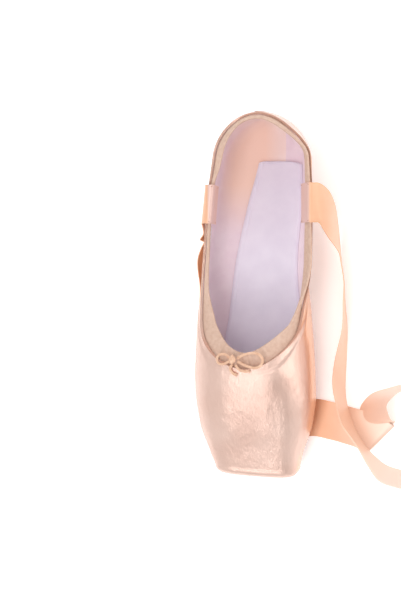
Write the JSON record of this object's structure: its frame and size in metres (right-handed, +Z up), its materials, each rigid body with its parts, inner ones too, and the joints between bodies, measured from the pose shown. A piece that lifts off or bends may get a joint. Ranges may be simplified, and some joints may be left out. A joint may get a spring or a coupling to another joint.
{
  "type": "pointe shoe",
  "caption": "Satin ballet shoe for the right foot, with a stiff box, flat toe platform, drawstring casing and bow, thin leather outsole and two long ribbons.",
  "frame": {"origin": "on the floor, in the middle of the outsole's flat heel", "axes": "+Z up, +Y towards the heel, so the toe points along -Y, and +X towards the inner (big toe) side"},
  "size_m": [0.2187, 0.2393, 0.0569],
  "materials": {
    "satin": "peach satin with a soft sheen",
    "sole_leather": "matte natural split leather",
    "sock": "pale lavender cotton weave",
    "casing_tape": "tan cotton twill tape",
    "drawstring": "peach cotton cord",
    "ribbon_satin": "soft peach satin ribbon"
  },
  "bodies": {
    "root": {"upper": "satin", "outsole": "sole_leather", "insole": "sock", "binding": "casing_tape", "drawstring_knot": "drawstring", "drawstring_loop_inner": "drawstring", "drawstring_loop_outer": "drawstring", "drawstring_end_inner": "drawstring", "drawstring_end_outer": "drawstring", "ribbon_inner": "ribbon_satin", "ribbon_outer": "ribbon_satin"}
  },
  "joints": []
}
